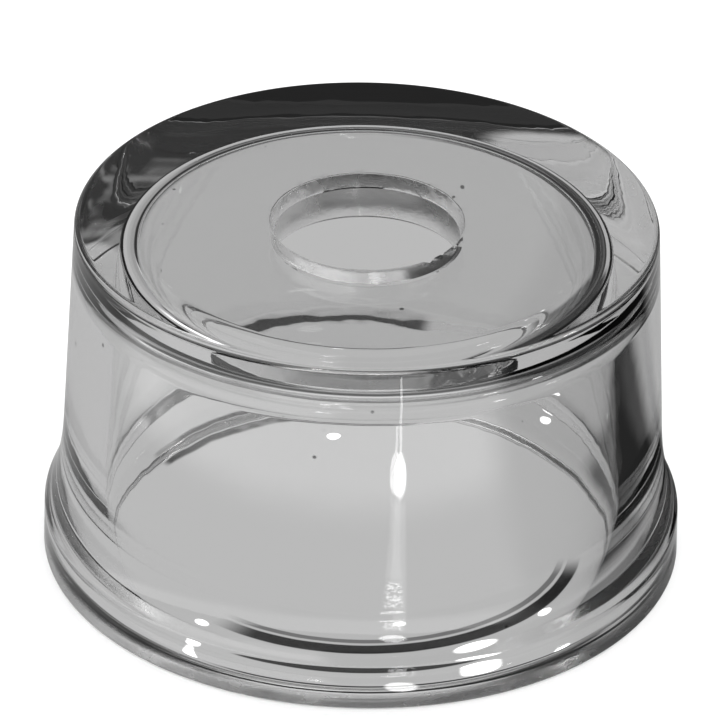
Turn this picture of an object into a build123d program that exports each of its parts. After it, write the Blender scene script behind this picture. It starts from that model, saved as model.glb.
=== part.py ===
from build123d import *

import os
from math import radians, tan

# Glass sediment bowl: one pressed-glass piece with a drilled drain hole in its base.
# It stands mouth down, as it is stored. The ground sealing face of the rim lies in
# z = 0 and the axis is +Z, so the drilled base is on top. All sizes are millimetres.

# Driving dimensions
HEIGHT = 36.3                # sealing face to the outer face of the base
BASE_RADIUS = 28.6           # the outer wall, carried up to the outer face of the base
WALL_DRAFT = 2.6             # degrees, so that the pressing leaves its mould
BASE_EDGE_RADIUS = 0.7       # rounding round the outer face of the base
BASE_THICKNESS = 4.95
RIM_RADIUS = 31.6            # outside of the rim at the sealing face
RIM_BAND_HEIGHT = 4.6        # nearly upright band round the rim
RIM_BAND_DRAFT = 1.0         # degrees
RIM_SWEEP_START = 14.0       # height at which the wall starts to sweep out to the rim
RIM_SHOULDER_REACH = 0.1     # how far the sweep runs on from the band, as a share of its height
RIM_FLARE_REACH = 0.8        # the same from the wall, which makes the long hollow of the flare
RIM_EDGE_RADIUS = 0.3        # outer corner of the sealing face
MOUTH_RADIUS = 25.8          # inner wall, carried down to the sealing face
INNER_BASE_RADIUS = 24.0     # inner wall, carried up to the inside of the base
MOUTH_EDGE_RADIUS = 1.6      # inner corner of the sealing face
INNER_CORNER_RADIUS = 3.0    # where the inner wall meets the inside of the base
BORE_RADIUS = 9.1            # drilled drain hole
BORE_BEVEL_OUTSIDE = (0.4, 1.5)    # radial and axial size of the ground bevel
BORE_BEVEL_INSIDE = (0.3, 0.3)     # the same, at the hole's inner end


def wall_radius(height):
    """Radius of the drafted outer wall at a height."""
    return BASE_RADIUS + (HEIGHT - height) * tan(radians(WALL_DRAFT))


def outer_profile():
    """Sealing face to base, up the outside, with square corners still to be rounded."""
    band_top = (
        RIM_RADIUS - RIM_BAND_HEIGHT * tan(radians(RIM_BAND_DRAFT)),
        RIM_BAND_HEIGHT,
    )
    wall_foot = (wall_radius(RIM_SWEEP_START), RIM_SWEEP_START)
    band = Line((RIM_RADIUS, 0), band_top)
    wall = Line(wall_foot, (BASE_RADIUS, HEIGHT))
    sweep_height = RIM_SWEEP_START - RIM_BAND_HEIGHT
    above_band = (band @ 1) + (band % 1) * (RIM_SHOULDER_REACH * sweep_height)
    below_wall = (wall @ 0) - (wall % 0) * (RIM_FLARE_REACH * sweep_height)
    sweep = Bezier(band @ 1, above_band, below_wall, wall @ 0)
    return [band, sweep, wall]


def bowl_section():
    """Half section of the bowl in the XZ plane, on the +X side of the axis."""
    bevel_out, depth_out = BORE_BEVEL_OUTSIDE
    bevel_in, depth_in = BORE_BEVEL_INSIDE
    inner_base = HEIGHT - BASE_THICKNESS
    inside = Polyline(
        (BASE_RADIUS, HEIGHT),
        (BORE_RADIUS + bevel_out, HEIGHT),
        (BORE_RADIUS, HEIGHT - depth_out),
        (BORE_RADIUS, inner_base + depth_in),
        (BORE_RADIUS + bevel_in, inner_base),
        (INNER_BASE_RADIUS, inner_base),
        (MOUTH_RADIUS, 0),
        (RIM_RADIUS, 0),
    )
    return make_face(outer_profile() + inside.edges())


def rounded(section, corner, radius):
    """The section with the corner nearest a point rounded."""
    vertex = section.vertices().sort_by_distance(corner)[0]
    return fillet(vertex, radius)


def glass_bowl():
    """The pressed and drilled glass bowl."""
    inner_base = HEIGHT - BASE_THICKNESS
    section = bowl_section()
    for corner, radius in (
        ((BASE_RADIUS, HEIGHT), BASE_EDGE_RADIUS),
        ((INNER_BASE_RADIUS, inner_base), INNER_CORNER_RADIUS),
        ((MOUTH_RADIUS, 0), MOUTH_EDGE_RADIUS),
        ((RIM_RADIUS, 0), RIM_EDGE_RADIUS),
    ):
        section = rounded(section, corner, radius)
    return revolve(Plane.XZ * section, Axis.Z)


os.makedirs("parts", exist_ok=True)
bowl = glass_bowl()
export_step(bowl, "parts/glass_bowl.step")
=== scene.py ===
import math

import bpy
from mathutils import Matrix, Vector


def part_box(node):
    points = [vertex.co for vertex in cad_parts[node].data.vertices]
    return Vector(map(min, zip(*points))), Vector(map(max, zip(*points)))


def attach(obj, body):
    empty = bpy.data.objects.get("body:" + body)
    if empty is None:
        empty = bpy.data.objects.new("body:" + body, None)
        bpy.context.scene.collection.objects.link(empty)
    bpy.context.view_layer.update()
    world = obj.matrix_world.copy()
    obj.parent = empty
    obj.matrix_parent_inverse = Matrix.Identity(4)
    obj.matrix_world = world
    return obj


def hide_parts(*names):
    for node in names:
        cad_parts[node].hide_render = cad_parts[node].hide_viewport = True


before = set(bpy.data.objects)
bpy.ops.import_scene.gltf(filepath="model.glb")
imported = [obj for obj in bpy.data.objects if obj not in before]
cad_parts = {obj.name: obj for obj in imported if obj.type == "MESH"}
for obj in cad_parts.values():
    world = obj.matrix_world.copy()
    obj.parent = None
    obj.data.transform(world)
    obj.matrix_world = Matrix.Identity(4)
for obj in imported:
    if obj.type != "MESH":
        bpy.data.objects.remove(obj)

bl_info = {
    "name": "Glass sediment bowl",
    "version": (1, 0, 0),
    "blender": (4, 5, 0),
    "location": "View3D > Sidebar > Bowl",
    "description": "Builds a pressed-glass sediment bowl with a drilled base, and its studio",
    "category": "Add Mesh",
}

CAD_NODE = "glass_bowl"
BODY = "root"
MM = 0.001

CAD_LOW, CAD_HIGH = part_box(CAD_NODE)
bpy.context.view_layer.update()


# ---------------------------------------------------------------- shader nodes

class Socket:
    """An output socket that takes part in expressions, each of which adds Math nodes."""

    def __init__(self, shader, socket):
        self.shader = shader
        self.socket = socket

    def _math(self, operation, first, second):
        return self.shader.node("ShaderNodeMath", {"operation": operation}, {0: first, 1: second})

    def __add__(self, other):
        return self._math("ADD", self, other)

    __radd__ = __add__

    def __sub__(self, other):
        return self._math("SUBTRACT", self, other)

    def __rsub__(self, other):
        return self._math("SUBTRACT", other, self)

    def __mul__(self, other):
        return self._math("MULTIPLY", self, other)

    __rmul__ = __mul__

    def __truediv__(self, other):
        return self._math("DIVIDE", self, other)

    def __pow__(self, other):
        return self._math("POWER", self, other)


class Shader:
    """A material's node tree, built one node at a time."""

    def __init__(self, name):
        self.material = bpy.data.materials.new(name)
        self.material.use_nodes = True
        self.tree = self.material.node_tree
        self.tree.nodes.clear()

    def node(self, kind, settings=None, sockets=None, output=0):
        """Adds a node: its settings first, then the values or links of its sockets."""
        node = self.tree.nodes.new(kind)
        for name, value in (settings or {}).items():
            setattr(node, name, value)
        for key, value in (sockets or {}).items():
            if isinstance(value, Socket):
                self.tree.links.new(value.socket, node.inputs[key])
            else:
                node.inputs[key].default_value = value
        if not node.outputs:
            return None
        return Socket(self, node.outputs[output])

    def surface(self, shader):
        """Ends the tree and gives the finished material."""
        self.node("ShaderNodeOutputMaterial", None, {"Surface": shader})
        return self.material


# ------------------------------------------------------------- the bowl's shape

SWEEP_STEPS = 32
DRILLED_EDGE_ROUNDING = 0.12 * MM
INNER_EDGE_ROUNDING = 0.08 * MM
CHIPPED_RING = 1.2 * MM
FINE_SPACING = 0.3 * MM
COARSE_SPACING = 1.1 * MM
FINE_WITHIN = 1.25  # bore radii
EDGE_SUPPORT = 0.12 * MM


def unit(dx, dz):
    """The direction of a step, of length 1."""
    size = math.hypot(dx, dz)
    return dx / size, dz / size


def rounded_corner(before, corner, after, radius, steps):
    """Points on the arc that rounds a corner between two straight lines."""
    ax, az = unit(before[0] - corner[0], before[1] - corner[1])
    bx, bz = unit(after[0] - corner[0], after[1] - corner[1])
    half = math.acos(max(-1.0, min(1.0, ax * bx + az * bz))) / 2
    setback = radius / math.tan(half)
    mx, mz = unit(ax + bx, az + bz)
    reach = radius / math.sin(half)
    centre = (corner[0] + mx * reach, corner[1] + mz * reach)
    start = (corner[0] + ax * setback, corner[1] + az * setback)
    end = (corner[0] + bx * setback, corner[1] + bz * setback)
    first = math.atan2(start[1] - centre[1], start[0] - centre[0])
    last = math.atan2(end[1] - centre[1], end[0] - centre[0])
    turn = (last - first + math.pi) % (2 * math.pi) - math.pi
    points = []
    for step in range(steps + 1):
        angle = first + turn * step / steps
        points.append((centre[0] + radius * math.cos(angle), centre[1] + radius * math.sin(angle)))
    return points


def bezier(p0, p1, p2, p3, steps):
    """Points on a cubic curve, with both ends."""
    points = []
    for step in range(steps + 1):
        t = step / steps
        s = 1 - t
        w = (s ** 3, 3 * s * s * t, 3 * s * t * t, t ** 3)
        points.append(tuple(sum(k * p[i] for k, p in zip(w, (p0, p1, p2, p3))) for i in (0, 1)))
    return points


def straight(start, end, spacing):
    """Inner points of a straight run: one close to each end, and evenly between."""
    run = math.dist(start, end)
    if run < 2.5 * EDGE_SUPPORT:
        return []
    inner = run - 2 * EDGE_SUPPORT
    count = max(1, round(inner / spacing))
    marks = [EDGE_SUPPORT + inner * i / count for i in range(count + 1)]
    return [
        (start[0] + (end[0] - start[0]) * m / run, start[1] + (end[1] - start[1]) * m / run)
        for m in marks
    ]


def first_point(item):
    """Where a stretch of the section starts: a sharp corner, or a list of points."""
    return item[0][0] if isinstance(item[0], list) else item[0]


def last_point(item):
    """Where a stretch of the section ends."""
    return item[0][-1] if isinstance(item[0], list) else item[0]


def bowl_section(size):
    """The closed half section, counter-clockwise from the sealing face.

    Each entry is a (radius, height) point and 1 where the run after it is ground, else 0.
    """
    height = size.height
    band_lean = math.tan(size.band_draft)
    wall_lean = math.tan(size.wall_draft)
    inner_base = height - size.base_thickness
    band_top = (size.rim_radius - size.band_height * band_lean, size.band_height)
    wall_foot = (size.base_radius + (height - size.sweep_start) * wall_lean, size.sweep_start)
    sweep_height = size.sweep_start - size.band_height
    shoulder = size.shoulder_reach * sweep_height
    flare = size.flare_reach * sweep_height
    up_band = unit(-band_lean, 1)
    up_wall = unit(-wall_lean, 1)
    sweep = bezier(
        band_top,
        (band_top[0] + up_band[0] * shoulder, band_top[1] + up_band[1] * shoulder),
        (wall_foot[0] - up_wall[0] * flare, wall_foot[1] - up_wall[1] * flare),
        wall_foot,
        SWEEP_STEPS,
    )
    bore = size.bore_radius
    # corner, or points already laid out; rounding radius; steps; 1 where the run that follows is ground
    corners = [
        ((size.mouth_radius, 0), size.mouth_edge, 8, 1),
        ((size.rim_radius, 0), size.rim_edge, 6, 0),
        (sweep, 0, 0, 0),
        ((size.base_radius, height), size.base_edge, 12, 0),
        ([(bore + size.bevel_out + CHIPPED_RING, height)], 0, 0, 0),
        ((bore + size.bevel_out, height), DRILLED_EDGE_ROUNDING, 3, 1),
        ((bore, height - size.bevel_out_depth), DRILLED_EDGE_ROUNDING, 3, 1),
        ((bore, inner_base + size.bevel_in), INNER_EDGE_ROUNDING, 3, 1),
        ((bore + size.bevel_in, inner_base), INNER_EDGE_ROUNDING, 3, 0),
        ((size.inner_base_radius, inner_base), size.inner_corner, 18, 0),
    ]
    runs = []
    for i, item in enumerate(corners):
        if isinstance(item[0], list):
            runs.append((item[0], item[3]))
            continue
        before = last_point(corners[i - 1])
        after = first_point(corners[(i + 1) % len(corners)])
        runs.append((rounded_corner(before, item[0], after, item[1], item[2]), item[3]))
    section = []
    for i, (points, ground) in enumerate(runs):
        section += [(p, ground if k == len(points) - 1 else 0) for k, p in enumerate(points)]
        following = runs[(i + 1) % len(runs)][0][0]
        near_hole = max(points[-1][0], following[0]) < FINE_WITHIN * bore
        spacing = FINE_SPACING if near_hole else COARSE_SPACING
        section += [(p, ground) for p in straight(points[-1], following, spacing)]
    return section


def section_object(size):
    """The section as a closed wire, laid out from the swept circle's radius."""
    section = bowl_section(size)
    mesh = bpy.data.meshes.new("bowl_section")
    centre = size.base_radius
    count = len(section)
    mesh.from_pydata(
        [(p[0] - centre, -p[1], 0) for p, _ in section],
        [(i, (i + 1) % count) for i in range(count)],
        [],
    )
    ground = mesh.attributes.new("ground", "FLOAT", "POINT")
    ground.data.foreach_set("value", [float(g) for _, g in section])
    return bpy.data.objects.new("bowl_section", mesh)


# ------------------------------------------------------------- geometry nodes

CHIP_FADE = 0.5 * MM
CHIPS_END = 2.4 * MM  # below the base's outside
CHIPS_FULL = 1.0 * MM
CHIPPED_BEARING = math.radians(54)
CHIPPED_HALF_WIDTH = math.radians(14)
CHIPPED_HALF_END = math.radians(24)
STRAY_CHIPS = 0.08
FLAKE_LEVELS = (0.46, 0.60)
GROUND_MARK = 0.9


class NodeGroup:
    """A Geometry Nodes tree with named inputs."""

    def __init__(self, name):
        self.tree = bpy.data.node_groups.new(name, "GeometryNodeTree")
        self.tree.interface.new_socket("Geometry", in_out="INPUT", socket_type="NodeSocketGeometry")
        self.tree.interface.new_socket("Geometry", in_out="OUTPUT", socket_type="NodeSocketGeometry")
        self.identifiers = {}
        self.entry = None

    def input(self, name, kind, default):
        socket = self.tree.interface.new_socket(name, in_out="INPUT", socket_type=kind)
        socket.default_value = default
        self.identifiers[name] = socket.identifier

    def open(self):
        self.entry = self.tree.nodes.new("NodeGroupInput")

    def value(self, name):
        return self.entry.outputs[name]

    def node(self, kind, settings=None, sockets=None):
        node = self.tree.nodes.new(kind)
        for name, value in (settings or {}).items():
            setattr(node, name, value)
        for key, value in (sockets or {}).items():
            if isinstance(value, bpy.types.NodeSocket):
                self.tree.links.new(value, node.inputs[key])
            else:
                node.inputs[key].default_value = value
        return node

    def maths(self, operation, *values):
        return self.node("ShaderNodeMath", {"operation": operation}, dict(enumerate(values))).outputs[0]

    def ramp(self, value, low, high):
        """0 at low and 1 at high, with a smooth rise between."""
        return self.node(
            "ShaderNodeMapRange", {"interpolation_type": "SMOOTHSTEP"},
            {"Value": value, "From Min": low, "From Max": high},
        ).outputs[0]

    def close(self, geometry):
        out = self.tree.nodes.new("NodeGroupOutput")
        self.tree.links.new(geometry, out.inputs[0])


def chip_depth(group):
    """How deep the drill has chipped the glass.

    The chips lie along a stretch of the hole's upper edge, with a few small ones all round.
    """
    place = group.node("GeometryNodeInputPosition")
    apart = group.node("ShaderNodeSeparateXYZ", None, {0: place.outputs[0]})
    x, y, z = apart.outputs
    radius = group.maths("SQRT", group.maths("MULTIPLY_ADD", x, x, group.maths("MULTIPLY", y, y)))
    inward = group.maths("SUBTRACT", group.value("Chip Reach"), radius)
    near_hole = group.ramp(inward, 0.0, CHIP_FADE)
    drop = group.maths("SUBTRACT", group.value("Base Height"), z)
    upper = group.ramp(drop, CHIPS_END, CHIPS_FULL)
    bearing = group.maths("ARCTAN2", x, group.maths("MULTIPLY", y, -1.0))
    aside = group.maths("ABSOLUTE", group.maths("SUBTRACT", bearing, CHIPPED_BEARING))
    stretch = group.ramp(aside, CHIPPED_HALF_END, CHIPPED_HALF_WIDTH)
    amount = group.maths("MULTIPLY_ADD", stretch, 1 - STRAY_CHIPS, STRAY_CHIPS)
    grain = group.node(
        "ShaderNodeTexNoise", {"noise_dimensions": "4D"},
        {"Scale": group.value("Chip Scale"), "Detail": 2.0, "W": group.value("Seed")},
    )
    flakes = group.ramp(grain.outputs[0], *FLAKE_LEVELS)
    where = group.maths("MULTIPLY", near_hole, upper)
    depth = group.maths("MULTIPLY", amount, group.value("Chip Depth"))
    return group.maths("MULTIPLY", group.maths("MULTIPLY", where, flakes), depth)


def lathe_group(clear, ground):
    """Sweeps a section round the axis and adds the small unevenness of pressed and drilled glass."""
    group = NodeGroup("Bowl lathe")
    group.input("Circle Radius", "NodeSocketFloat", 28.6 * MM)
    group.input("Segments", "NodeSocketInt", 384)
    group.input("Waviness", "NodeSocketFloat", 0.02 * MM)
    group.input("Wave Scale", "NodeSocketFloat", 90.0)
    group.input("Seed", "NodeSocketFloat", 3.0)
    group.input("Chip Reach", "NodeSocketFloat", 10.1 * MM)
    group.input("Chip Depth", "NodeSocketFloat", 0.5 * MM)
    group.input("Chip Scale", "NodeSocketFloat", 520.0)
    group.input("Base Height", "NodeSocketFloat", CAD_HIGH.z)
    group.open()
    wire = group.node("GeometryNodeMeshToCurve", None, {"Mesh": group.value("Geometry")})
    circle = group.node(
        "GeometryNodeCurvePrimitiveCircle", {"mode": "RADIUS"},
        {"Resolution": group.value("Segments"), "Radius": group.value("Circle Radius")},
    )
    upright = group.node("GeometryNodeSetCurveNormal", {"mode": "Z_UP"}, {"Curve": circle.outputs[0]})
    lathe = group.node(
        "GeometryNodeCurveToMesh", None,
        {"Curve": upright.outputs[0], "Profile Curve": wire.outputs[0], "Fill Caps": False},
    )
    outward = group.node("GeometryNodeFlipFaces", None, {"Mesh": lathe.outputs[0]})
    swell = group.node(
        "ShaderNodeTexNoise", {"noise_dimensions": "4D"},
        {"Scale": group.value("Wave Scale"), "Detail": 1.0, "W": group.value("Seed")},
    )
    inward = group.maths("SUBTRACT", swell.outputs[0], 1.0)
    wave = group.maths("MULTIPLY", inward, group.value("Waviness"))
    move = group.maths("SUBTRACT", wave, chip_depth(group))
    normal = group.node("GeometryNodeInputNormal")
    offset = group.node(
        "ShaderNodeVectorMath", {"operation": "SCALE"},
        {0: normal.outputs[0], "Scale": move},
    )
    moved = group.node(
        "GeometryNodeSetPosition", None,
        {"Geometry": outward.outputs[0], "Offset": offset.outputs[0]},
    )
    smooth = group.node(
        "GeometryNodeSetShadeSmooth", None, {"Geometry": moved.outputs[0], "Shade Smooth": True},
    )
    real = group.node("GeometryNodeRealizeInstances", None, {"Geometry": smooth.outputs[0]})
    polished = group.node(
        "GeometryNodeSetMaterial", None, {"Geometry": real.outputs[0], "Material": clear},
    )
    marked = group.node("GeometryNodeInputNamedAttribute", {"data_type": "FLOAT"}, {"Name": "ground"})
    on_ground = group.node(
        "FunctionNodeCompare", {"data_type": "FLOAT", "operation": "GREATER_THAN"},
        {"A": marked.outputs[0], "B": GROUND_MARK},
    )
    frosted = group.node(
        "GeometryNodeSetMaterial", None,
        {"Geometry": polished.outputs[0], "Selection": on_ground.outputs[0], "Material": ground},
    )
    group.close(frosted.outputs[0])
    return group


def made_mesh(source, group, values, name):
    """The plain mesh that a node group makes of an object."""
    bpy.context.scene.collection.objects.link(source)
    modifier = source.modifiers.new("shape", "NODES")
    modifier.node_group = group.tree
    for key, value in values.items():
        modifier[group.identifiers[key]] = value
    bpy.context.view_layer.update()
    evaluated = source.evaluated_get(bpy.context.evaluated_depsgraph_get())
    mesh = bpy.data.meshes.new_from_object(evaluated)
    mesh.name = name
    source.modifiers.remove(modifier)
    bpy.data.objects.remove(source)
    made = bpy.data.objects.new(name, mesh)
    bpy.context.scene.collection.objects.link(made)
    return made


# ------------------------------------------------------------------ materials

SPECK_CELLS = 170.0  # a metre; a speck shows where the surface passes close to a cell's middle
SPECK_RADIUS = 0.32 * MM
GROUND_ROUGHNESS = 0.12
WORN_ROUGHNESS = 0.26
PAPER_ROUGHNESS = 0.9
PAPER_GLOSS = 0.1


def glass_surface(shader, colour, look, roughness, bump):
    """Ends a tree in solid glass."""
    glass = shader.node(
        "ShaderNodeBsdfPrincipled", None,
        {
            "Base Color": colour,
            "Roughness": roughness,
            "IOR": look.refraction,
            "Transmission Weight": 1.0,
            "Normal": bump,
        },
    )
    return shader.surface(glass)


def clear_glass(look):
    """Fire-polished glass, very slightly rippled, with a few dark specks."""
    shader = Shader("clear pressed glass")
    place = shader.node("ShaderNodeTexCoord", None, None, "Object")
    swirl = shader.node(
        "ShaderNodeTexNoise", None,
        {"Vector": place, "Scale": 160.0, "Detail": 2.0, "Roughness": 0.5},
    )
    cells = shader.node("ShaderNodeTexVoronoi", None, {"Vector": place, "Scale": SPECK_CELLS})
    speck_edge = SPECK_RADIUS * SPECK_CELLS
    in_speck = shader.node(
        "ShaderNodeMapRange", {"interpolation_type": "SMOOTHSTEP"},
        {"Value": cells, "From Min": speck_edge, "From Max": 0.5 * speck_edge},
    )
    tint = (*look.glass_tint, 1.0)
    dark = (*look.speck_colour, 1.0)
    colour = shader.node("ShaderNodeMix", {"data_type": "RGBA"}, {0: in_speck, 6: tint, 7: dark}, 2)
    bump = shader.node(
        "ShaderNodeBump", None, {"Strength": 0.02, "Distance": 1.0 * MM, "Height": swirl},
    )
    return glass_surface(shader, colour, look, 0.0, bump)


def ground_glass(look):
    """Glass ground dull, with polished patches worn into it."""
    shader = Shader("ground glass")
    place = shader.node("ShaderNodeTexCoord", None, None, "Object")
    grain = shader.node(
        "ShaderNodeTexNoise", None,
        {"Vector": place, "Scale": 2500.0, "Detail": 2.0, "Roughness": 0.6},
    )
    bump = shader.node(
        "ShaderNodeBump", None, {"Strength": 0.1, "Distance": 0.2 * MM, "Height": grain},
    )
    worn = shader.node(
        "ShaderNodeTexNoise", None,
        {"Vector": place, "Scale": 300.0, "Detail": 2.0, "Roughness": 0.5},
    )
    roughness = GROUND_ROUGHNESS + worn * WORN_ROUGHNESS
    return glass_surface(shader, (*look.glass_tint, 1.0), look, roughness, bump)


def floor_paper(look):
    """The pale matt paper that the bowl stands on."""
    shader = Shader("pale studio paper")
    place = shader.node("ShaderNodeTexCoord", None, None, "Object")
    fibre = shader.node(
        "ShaderNodeTexNoise", None, {"Vector": place, "Scale": 900.0, "Detail": 3.0},
    )
    bump = shader.node(
        "ShaderNodeBump", None, {"Strength": 0.03, "Distance": 0.2 * MM, "Height": fibre},
    )
    paper = shader.node(
        "ShaderNodeBsdfPrincipled", None,
        {
            "Base Color": (*look.floor_colour, 1.0),
            "Roughness": PAPER_ROUGHNESS,
            "Specular IOR Level": PAPER_GLOSS,
            "Normal": bump,
        },
    )
    return shader.surface(paper)


# ------------------------------------------------- what the glass has round it

# Bearings and heights are in degrees as seen from the bowl's foot, distances in metres from its axis.
# A span is its low end, its high end and the width of its soft edges. A sector is the bearing of its
# middle, its half width and the width of its soft edges.
TENT_TOP = (50, 66)
TENT_TOP_GLOW = 0.65
TENT_HORIZON = (16, 5)
TENT_HORIZON_GLOW = 0.08
TENT_REST_GLOW = 0.025
# sector, span of heights, glow: the window, then a pale, a grey and a dim card
TENT_CARDS = (
    ((-55, 38, 9), (14, 62, 6), 1.4),
    ((-115, 20, 8), (35, 56, 6), 0.6),
    ((-132, 30, 8), (-5, 30, 8), 0.35),
    ((-178, 10, 6), (18, 30, 6), 0.16),
)
# bearing and height
TENT_LAMPS = ((-19, 45), (65, 40), (95, 40))
LAMP_HALF_SIZE = 3.0
LAMP_CORE = 0.7
LAMP_GLOW = 25.0

TABLE_NEAR = (130 * MM, 170 * MM)
TABLE_NEAR_GLOW = 0.5
# a painted pool of light on the table card in front: sector, then span of distances
FRONT_LIGHT_POOL = ((-20, 58, 18), (78 * MM, 130 * MM, 14 * MM))
FRONT_LIGHT_POOL_GLOW = 1.1
# a painted glow of light on the table card far behind, on the left: sector
FAR_LIGHT_POOL = (-135, 45, 10)
FAR_LIGHT_POOL_GLOW = 0.45
TABLE_REST_GLOW = 0.02
TABLE_FILL = 0.9
# sector, where it comes in, how dark it is: painted shade on the table card, dark on the right and
# faint behind it
PAINTED_SHADE_SECTORS = (
    ((84, 32, 10), (32 * MM, 36 * MM), 1.0),
    ((136, 18, 6), (30 * MM, 34 * MM), 0.12),
)
# a painted shadow on the table card under the rim's sealing face: span of distances; full behind,
# patchy behind on the left, lighter in front
RIM_SHADOW = (26.2 * MM, 32.5 * MM, 0.6 * MM)
RIM_SHADOW_BEHIND = (-159, 31, 3)
RIM_SHADOW_PATCHY = (-140, 20, 8)
RIM_SHADOW_PATCHES = 0.5
RIM_SHADOW_MOTTLE = (170.0, 0.45, 0.62)
RIM_SHADOW_FRONT = (35, 50, 10)
RIM_SHADOW_FRONT_DARK = 0.6
# two fine painted shadow arcs on the table card under the bowl, in front: span, how dark
FRONT_SHADOW_ARCS = (
    ((20.1 * MM, 20.6 * MM, 0.2 * MM), 0.7),
    ((21.2 * MM, 22.5 * MM, 0.2 * MM), 1.0),
)
FRONT_SHADOW_ARCS_SECTOR = (22, 48, 14)
# a painted streak of light on the table card in front: its bearing and how far aside, then its parts
STRIP_BEARING = 14.4
STRIP_ASIDE = -3.6 * MM
STREAK_END = 2 * MM
# half width, nearest and farthest end, glow
STRIP_STREAKS = ((0.4 * MM, 84 * MM, 104 * MM, 6.0), (1.4 * MM, 50 * MM, 72 * MM, 1.5))
STRIP_BROKEN = (1.2 * MM, 39 * MM, 47 * MM)
STRIP_BROKEN_GLOW = 8.0
STRIP_MOTTLE = (900.0, 0.4, 0.6)
# distance, half width, half length, glow
STRIP_SPOTS = ((79 * MM, 3.0 * MM, 6.0 * MM, 14.0), (35.5 * MM, 2.4 * MM, 1.0 * MM, 14.0))
# painted glints on the table card: bearing, distance, half width, half length
GLINTS = (
    (28, 23.5 * MM, 2.6 * MM, 0.6 * MM),
    (51, 23.1 * MM, 1.1 * MM, 0.5 * MM),
    (-40, 23.2 * MM, 0.9 * MM, 0.5 * MM),
    (-172, 22.2 * MM, 0.8 * MM, 0.6 * MM),
    (140, 37.5 * MM, 1.0 * MM, 0.9 * MM),
)
GLINT_GLOW = 2.0
SPOT_CORE = 0.4


class Surroundings:
    """Brightness laid out by bearing and height or distance, as seen from the bowl.

    Bearings are degrees from the camera's side, -Y, growing towards +X.
    """

    def __init__(self, name):
        self.shader = Shader(name)
        self.place = self.shader.node("ShaderNodeTexCoord", None, None, "Object")
        split = self.shader.node("ShaderNodeSeparateXYZ", None, {0: self.place}).socket.node
        self.x, self.y, self.z = (Socket(self.shader, out) for out in split.outputs)
        self.distance = (self.x * self.x + self.y * self.y) ** 0.5
        self.height = self.angle(self.z, self.distance)

    def angle(self, across, along):
        radians = self.shader.node("ShaderNodeMath", {"operation": "ARCTAN2"}, {0: across, 1: along})
        return radians * math.degrees(1.0)

    def ramp(self, value, low, high):
        """0 below low and 1 above high, with a smooth rise between."""
        return self.shader.node(
            "ShaderNodeMapRange", {"interpolation_type": "SMOOTHSTEP"},
            {"Value": value, "From Min": low, "From Max": high},
        )

    def between(self, value, low, high, soft):
        return self.ramp(value, low - soft, low) * (1 - self.ramp(value, high, high + soft))

    def along_and_across(self, centre):
        """How far a place lies out along a bearing, and aside of it."""
        turn = math.radians(centre)
        along = self.x * math.sin(turn) - self.y * math.cos(turn)
        across = self.x * math.cos(turn) + self.y * math.sin(turn)
        return along, across

    def sector(self, centre, half_width, soft):
        along, across = self.along_and_across(centre)
        return self.between(self.angle(across, along), -half_width, half_width, soft)

    def lamp(self, centre, height, half_size):
        """A round lamp."""
        along, across = self.along_and_across(centre)
        side = self.angle(across, along) * math.cos(math.radians(height))
        rise = self.height - height
        away = (side * side + rise * rise) ** 0.5
        return 1 - self.ramp(away, half_size * LAMP_CORE, half_size)

    def streak(self, centre, aside, half_width, nearest, farthest):
        """A narrow strip that runs away from the bowl."""
        along, across = self.along_and_across(centre)
        wide = self.between(across - aside, -half_width, half_width, half_width)
        return wide * self.between(along, nearest, farthest, STREAK_END)

    def spot(self, centre, aside, out, half_width, half_length):
        """An oval spot."""
        along, across = self.along_and_across(centre)
        wide = (across - aside) / half_width
        deep = (along - out) / half_length
        return 1 - self.ramp(wide * wide + deep * deep, SPOT_CORE, 1.0)

    def mottle(self, scale, low, high):
        """Irregular patches, 0 to 1."""
        noise = self.shader.node(
            "ShaderNodeTexNoise", None, {"Vector": self.place, "Scale": scale, "Detail": 2.0},
        )
        return self.ramp(noise, low, high)

    def emitter(self, brightness, fill):
        """A glow that the glass shows, and an even one for the light that the floor gets through it."""
        bounces = self.shader.node("ShaderNodeLightPath", None, None, "Diffuse Depth")
        on_floor = self.ramp(bounces, 0.4, 0.6)  # 0 before the first bounce, 1 from it on
        strength = brightness * (1 - on_floor) + fill * on_floor
        glow = self.shader.node("ShaderNodeEmission", None, {"Strength": strength})
        return self.shader.surface(glow)


def tent_material(look):
    """The studio tent: a big window, pale cards, a soft top and small lamps over dim sides."""
    tent = Surroundings("studio tent")
    glow = tent.ramp(tent.height, *TENT_TOP) * TENT_TOP_GLOW
    for sector, heights, card_glow in TENT_CARDS:
        glow = glow + tent.sector(*sector) * tent.between(tent.height, *heights) * card_glow
    glow = glow + tent.ramp(tent.height, *TENT_HORIZON) * TENT_HORIZON_GLOW + TENT_REST_GLOW
    for bearing, height in TENT_LAMPS:
        glow = glow + tent.lamp(bearing, height, LAMP_HALF_SIZE) * LAMP_GLOW
    return tent.emitter(glow, look.daylight)


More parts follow.
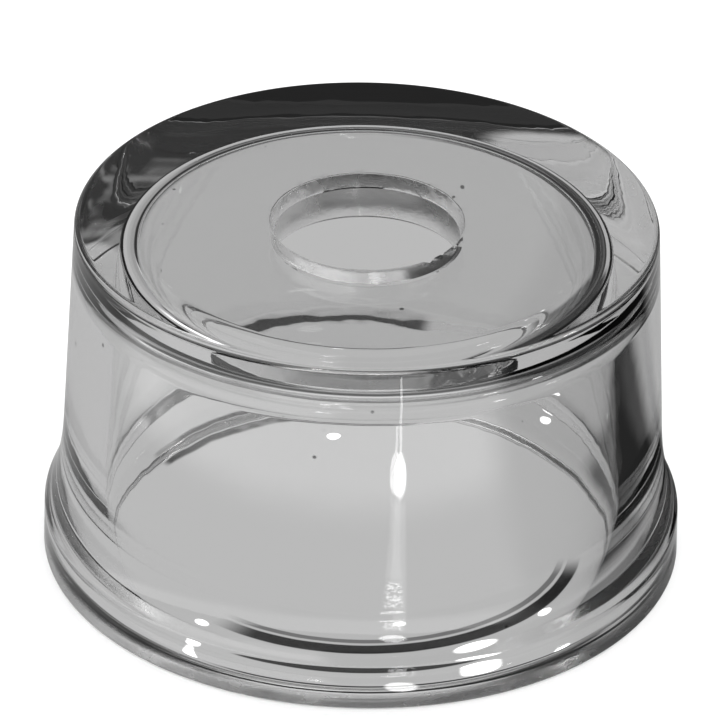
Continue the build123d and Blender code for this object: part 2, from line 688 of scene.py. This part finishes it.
def painted_table_shade(table):
    """How much of the card's glow is left by painted shade: dark sectors, rim shadow and arcs."""
    shade = 1
    # painted shade on the right and faint behind
    for sector, comes_in, dark in PAINTED_SHADE_SECTORS:
        shade = shade * (1 - table.sector(*sector) * table.ramp(table.distance, *comes_in) * dark)
    # the painted shadow under the rim: patchy behind on the left, lighter in front
    patches = table.mottle(*RIM_SHADOW_MOTTLE) * table.sector(*RIM_SHADOW_PATCHY) * RIM_SHADOW_PATCHES
    behind = table.sector(*RIM_SHADOW_BEHIND) * (1 - patches)
    in_front = table.sector(*RIM_SHADOW_FRONT) * RIM_SHADOW_FRONT_DARK
    shade = shade * (1 - table.between(table.distance, *RIM_SHADOW) * (behind + in_front))
    # the two painted shadow arcs in front
    arc_shadow = 0
    for span, dark in FRONT_SHADOW_ARCS:
        arc_shadow = table.between(table.distance, *span) * dark + arc_shadow
    return shade * (1 - arc_shadow * table.sector(*FRONT_SHADOW_ARCS_SECTOR))


def painted_light_strip(table):
    """A painted streak of light on the table: two streaks, a broken stretch and two brighter spots."""
    aim = (STRIP_BEARING, STRIP_ASIDE)
    glow = table.streak(*aim, *STRIP_BROKEN) * table.mottle(*STRIP_MOTTLE) * STRIP_BROKEN_GLOW
    for half_width, nearest, farthest, strip_glow in STRIP_STREAKS:
        glow = glow + table.streak(*aim, half_width, nearest, farthest) * strip_glow
    for out, half_width, half_length, spot_glow in STRIP_SPOTS:
        glow = glow + table.spot(*aim, out, half_width, half_length) * spot_glow
    return glow


def painted_table_material():
    """What the glass shows of the table: a card that glows, with the table's light and shade painted
    on it.

    It is grey near the bowl and pale in front, where a pool of light is painted, dark under the rim
    and to the right, where shadow and shade are painted, with a narrow painted streak of light and
    small painted glints.
    """
    table = Surroundings("painted table light and shade")
    near = 1 - table.ramp(table.distance, *TABLE_NEAR)
    # the painted pool of light in front
    front_sector, front_span = FRONT_LIGHT_POOL
    front = table.sector(*front_sector) * table.between(table.distance, *front_span)
    # the painted glow of light far behind, on the left
    far = table.sector(*FAR_LIGHT_POOL) * (1 - near)
    glow = (near * TABLE_NEAR_GLOW + front * FRONT_LIGHT_POOL_GLOW) * painted_table_shade(table)
    # the painted streak of light is added here
    glow = glow + far * FAR_LIGHT_POOL_GLOW + painted_light_strip(table) + TABLE_REST_GLOW
    # the painted glints
    for bearing, out, half_width, half_length in GLINTS:
        glow = glow + table.spot(bearing, 0, out, half_width, half_length) * GLINT_GLOW
    return table.emitter(glow, TABLE_FILL)


# ----------------------------------------------------------------- properties

def length(name, description, default):
    return bpy.props.FloatProperty(
        name=name, description=description, default=default, unit="LENGTH", precision=5,
    )


def angle(name, description, degrees):
    return bpy.props.FloatProperty(
        name=name, description=description, default=math.radians(degrees), subtype="ANGLE",
    )


class BowlSizes(bpy.types.PropertyGroup):
    """Sizes of the glass bowl."""

    height: length("Height", "Sealing face to the outside of the base", CAD_HIGH.z - CAD_LOW.z)
    base_radius: length("Base radius", "Outer wall carried up to the base", 28.6 * MM)
    wall_draft: angle("Wall draft", "Lean of the outer wall", 2.6)
    base_edge: length("Base edge", "Rounding round the base", 0.7 * MM)
    base_thickness: length("Base thickness", "Glass left in the base", 4.95 * MM)
    rim_radius: length("Rim radius", "Outside of the rim at the sealing face", 31.6 * MM)
    band_height: length("Band height", "Nearly upright band round the rim", 4.6 * MM)
    band_draft: angle("Band draft", "Lean of the rim band", 1.0)
    sweep_start: length("Sweep start", "Height where the wall sweeps out to the rim", 14.0 * MM)
    shoulder_reach: bpy.props.FloatProperty(
        name="Shoulder reach", description="How far the sweep runs on from the band", default=0.1,
    )
    flare_reach: bpy.props.FloatProperty(
        name="Flare reach", description="How far the sweep runs on from the wall", default=0.8,
    )
    rim_edge: length("Rim edge", "Outer rounding of the sealing face", 0.3 * MM)
    mouth_radius: length("Mouth radius", "Inner wall carried down to the sealing face", 25.8 * MM)
    inner_base_radius: length("Inner base radius", "Inner wall carried up to the base", 24.0 * MM)
    mouth_edge: length("Mouth edge", "Inner rounding of the sealing face", 1.6 * MM)
    inner_corner: length("Inner corner", "Rounding between inner wall and base", 3.0 * MM)
    bore_radius: length("Bore radius", "Drilled drain hole", 9.1 * MM)
    bevel_out: length("Outer bevel", "Width of the ground bevel outside", 0.4 * MM)
    bevel_out_depth: length("Outer bevel depth", "Depth of the ground bevel outside", 1.5 * MM)
    bevel_in: length("Inner bevel", "Ground bevel at the hole's inner end", 0.3 * MM)


class BowlLook(bpy.types.PropertyGroup):
    """Colours and finish."""

    glass_tint: bpy.props.FloatVectorProperty(
        name="Glass tint", description="Colour of light through one wall", subtype="COLOR",
        size=3, min=0.0, max=1.0, default=(0.94, 0.94, 0.94),
    )
    # small dark specks mixed into the glass colour at scattered points
    speck_colour: bpy.props.FloatVectorProperty(
        name="Speck colour", description="Tiny seeds and dirt caught in the glass", subtype="COLOR",
        size=3, min=0.0, max=1.0, default=(0.03, 0.03, 0.03),
    )
    refraction: bpy.props.FloatProperty(
        name="Refraction", description="Index of refraction of soda-lime glass", default=1.52,
    )
    daylight: bpy.props.FloatProperty(
        name="Daylight", description="Brightness of the plain light all round", default=1.5, min=0.0,
    )
    floor_colour: bpy.props.FloatVectorProperty(
        name="Floor colour", description="Studio paper under the bowl", subtype="COLOR",
        size=3, min=0.0, max=1.0, default=(0.9, 0.9, 0.9),
    )


# ------------------------------------------------------------------ operators

class BOWL_OT_glass(bpy.types.Operator):
    """Makes the pressed and drilled glass bowl"""

    bl_idname = "bowl.glass"
    bl_label = "Glass bowl"

    def execute(self, context):
        size = context.scene.bowl_sizes
        look = context.scene.bowl_look
        group = lathe_group(clear_glass(look), ground_glass(look))
        bowl = made_mesh(
            section_object(size), group, {"Circle Radius": size.base_radius}, "pressed_glass_bowl",
        )
        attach(bowl, BODY)
        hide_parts(CAD_NODE)
        return {"FINISHED"}


# --------------------------------------------------------- camera and studio

CAMERA_PITCH = math.radians(30.83)
CAMERA_ROLL = math.radians(1.23)
CAMERA_DISTANCE = 0.79001
CAMERA_AIM = (-0.0010656, 0.0022027)
CAMERA_LENS = 402.23
CAMERA_SENSOR = 36
CAMERA_NEAREST = 10 * MM
FLOOR_REACH = 4.0
FLOOR_DROP = 0.1 * MM
TABLE_DROP = 0.05 * MM
TENT_RADIUS = 1.5


def camera(context):
    """Looks down at the bowl's middle, rolled a little, then turned to the point it aims at."""
    centre = Vector((0, 0, CAD_HIGH.z / 2))
    back = Vector((0, -math.cos(CAMERA_PITCH), math.sin(CAMERA_PITCH)))
    right = Vector((1, 0, 0))
    place = centre + back * CAMERA_DISTANCE
    turn = Matrix((right, back.cross(right), back)).transposed()
    turn = turn @ Matrix.Rotation(CAMERA_ROLL, 3, "Z")
    back = (place - centre - turn @ Vector((*CAMERA_AIM, 0))).normalized()
    right = turn @ right
    right = (right - back * right.dot(back)).normalized()
    turn = Matrix((right, back.cross(right), back)).transposed()
    data = bpy.data.cameras.new("camera")
    data.lens = CAMERA_LENS
    data.sensor_width = CAMERA_SENSOR
    data.clip_start = CAMERA_NEAREST
    made = bpy.data.objects.new("camera", data)
    made.matrix_world = Matrix.Translation(place) @ turn.to_4x4()
    context.scene.collection.objects.link(made)
    context.scene.camera = made


def stage_object(context, name, mesh, material):
    """A part of the studio, which is no piece of the object."""
    mesh.materials.append(material)
    made = bpy.data.objects.new(name, mesh)
    context.scene.collection.objects.link(made)
    return made


def only_in_glass(made):
    """Hides a card from everything but light through or off the glass."""
    made.visible_camera = False
    made.visible_diffuse = False
    made.visible_shadow = False
    made.visible_volume_scatter = False


def tent_mesh(radius, rings, segments):
    """An open dome with its pole at the top."""
    points = []
    for ring in range(rings):
        lift = math.radians(90) * ring / rings
        for step in range(segments):
            turn = 2 * math.pi * step / segments
            points.append((
                radius * math.cos(lift) * math.cos(turn),
                radius * math.cos(lift) * math.sin(turn),
                radius * math.sin(lift),
            ))
    points.append((0, 0, radius))
    top = len(points) - 1
    faces = []
    for ring in range(rings):
        for step in range(segments):
            after = (step + 1) % segments
            low = ring * segments
            if ring == rings - 1:
                faces.append((low + after, low + step, top))
            else:
                high = low + segments
                faces.append((low + after, low + step, high + step, high + after))
    mesh = bpy.data.meshes.new("tent")
    mesh.from_pydata(points, [], faces)
    return mesh


def disc_mesh(radius, segments):
    """A flat round card."""
    mesh = bpy.data.meshes.new("ground")
    turns = [2 * math.pi * step / segments for step in range(segments)]
    points = [(radius * math.cos(turn), radius * math.sin(turn), 0) for turn in turns]
    mesh.from_pydata(points, [], [tuple(range(segments))])
    return mesh


class BOWL_OT_stage(bpy.types.Operator):
    """Lays the floor and sets the lights and the camera"""

    bl_idname = "bowl.stage"
    bl_label = "Studio"

    def execute(self, context):
        look = context.scene.bowl_look
        reach = FLOOR_REACH
        floor_mesh = bpy.data.meshes.new("floor")
        floor_mesh.from_pydata(
            [(-reach, -reach, 0), (reach, -reach, 0), (reach, reach, 0), (-reach, reach, 0)], [],
            [(0, 1, 2, 3)],
        )
        floor = stage_object(context, "floor", floor_mesh, floor_paper(look))
        floor.location.z = -FLOOR_DROP
        tent = stage_object(context, "tent", tent_mesh(TENT_RADIUS, 24, 72), tent_material(look))
        only_in_glass(tent)
        # a card that glows, which only the glass shows, with the table's light and shade painted on it
        table = stage_object(context, "ground", disc_mesh(TENT_RADIUS, 96), painted_table_material())
        table.location.z = -TABLE_DROP
        only_in_glass(table)
        world = bpy.data.worlds.new("studio")
        world.use_nodes = True
        background = world.node_tree.nodes["Background"]
        background.inputs["Color"].default_value = (1, 1, 1, 1)
        background.inputs["Strength"].default_value = look.daylight
        context.scene.world = world
        context.scene.view_settings.view_transform = "Standard"
        camera(context)
        return {"FINISHED"}


class BOWL_PT_panel(bpy.types.Panel):
    """Lists the bowl's pieces"""

    bl_label = "Sediment bowl"
    bl_idname = "BOWL_PT_panel"
    bl_space_type = "VIEW_3D"
    bl_region_type = "UI"
    bl_category = "Bowl"

    def draw(self, context):
        for piece in (BOWL_OT_glass, BOWL_OT_stage):
            self.layout.operator(piece.bl_idname)
        for settings in (context.scene.bowl_sizes, context.scene.bowl_look):
            for name in settings.__annotations__:
                self.layout.prop(settings, name)


CLASSES = (BowlSizes, BowlLook, BOWL_OT_glass, BOWL_OT_stage, BOWL_PT_panel)


def register():
    for item in CLASSES:
        bpy.utils.register_class(item)
    bpy.types.Scene.bowl_sizes = bpy.props.PointerProperty(type=BowlSizes)
    bpy.types.Scene.bowl_look = bpy.props.PointerProperty(type=BowlLook)


def unregister():
    del bpy.types.Scene.bowl_look
    del bpy.types.Scene.bowl_sizes
    for item in reversed(CLASSES):
        bpy.utils.unregister_class(item)


def main():
    register()
    bpy.ops.bowl.glass()
    bpy.ops.bowl.stage()


if __name__ == "__main__":
    main()
